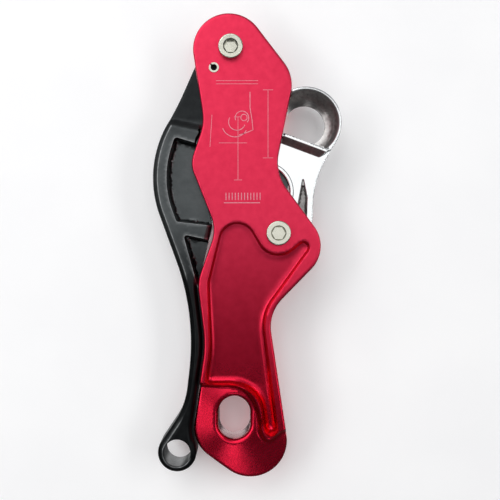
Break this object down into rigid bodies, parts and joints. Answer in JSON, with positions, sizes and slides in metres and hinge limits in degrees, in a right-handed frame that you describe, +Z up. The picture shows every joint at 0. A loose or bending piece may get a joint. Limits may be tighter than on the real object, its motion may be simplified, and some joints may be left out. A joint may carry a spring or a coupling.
{
  "type": "rope descender",
  "caption": "Hand-held rope descender: pressed side plates on two axles, a cam lever with an eye and a swinging arm with a rope ring.",
  "frame": {"origin": "middle of the attachment eye, halfway between the outer faces of the side plates", "axes": "+Z up from the attachment eye towards the upper axle, +X to the right as seen from the front, and the front faces -Y"},
  "size_m": [0.0953, 0.03, 0.2351],
  "materials": {
    "plate_red": "red anodised, satin above, glossier in the pressed area",
    "lever_black": "black anodised, satin, brighter along the edges",
    "polished_steel": "polished",
    "bolt_steel": "satin steel with a faint yellow tint",
    "spring_steel": "drawn wire",
    "bush_brass": "plain bearing bush"
  },
  "bodies": {
    "frame": {"front_plate": "plate_red", "back_plate": "plate_red", "wear_plate": "polished_steel", "upper_axle_sleeve": "bolt_steel", "upper_axle_screw": "bolt_steel", "lower_axle_sleeve": "bolt_steel", "lower_axle_screw": "bolt_steel", "stop_pin": "bolt_steel", "handle_washer_front": "bolt_steel", "handle_washer_back": "bolt_steel", "handle_spring": "spring_steel", "arm_spring": "spring_steel"},
    "handle": {"handle_lever": "lever_black", "handle_bush": "bush_brass"},
    "arm": {"swing_arm": "polished_steel", "arm_bush": "bush_brass"}
  },
  "joints": [
    {"name": "handle_pivot", "type": "hinge", "parent": "frame", "child": "handle", "pos_m": [-0.00165, 0, 0.18625], "axis": [0, 1, 0], "range_deg": [0, 30], "stiffness_Nm_per_rad": 0.3, "springref_deg": -20.05, "deforming": ["handle_spring"]},
    {"name": "arm_pivot", "type": "hinge", "parent": "frame", "child": "arm", "pos_m": [0.02225, 0, 0.0934], "axis": [0, 1, 0], "range_deg": [0, 12], "stiffness_Nm_per_rad": 0.08, "springref_deg": -6.88, "deforming": ["arm_spring"]}
  ]
}
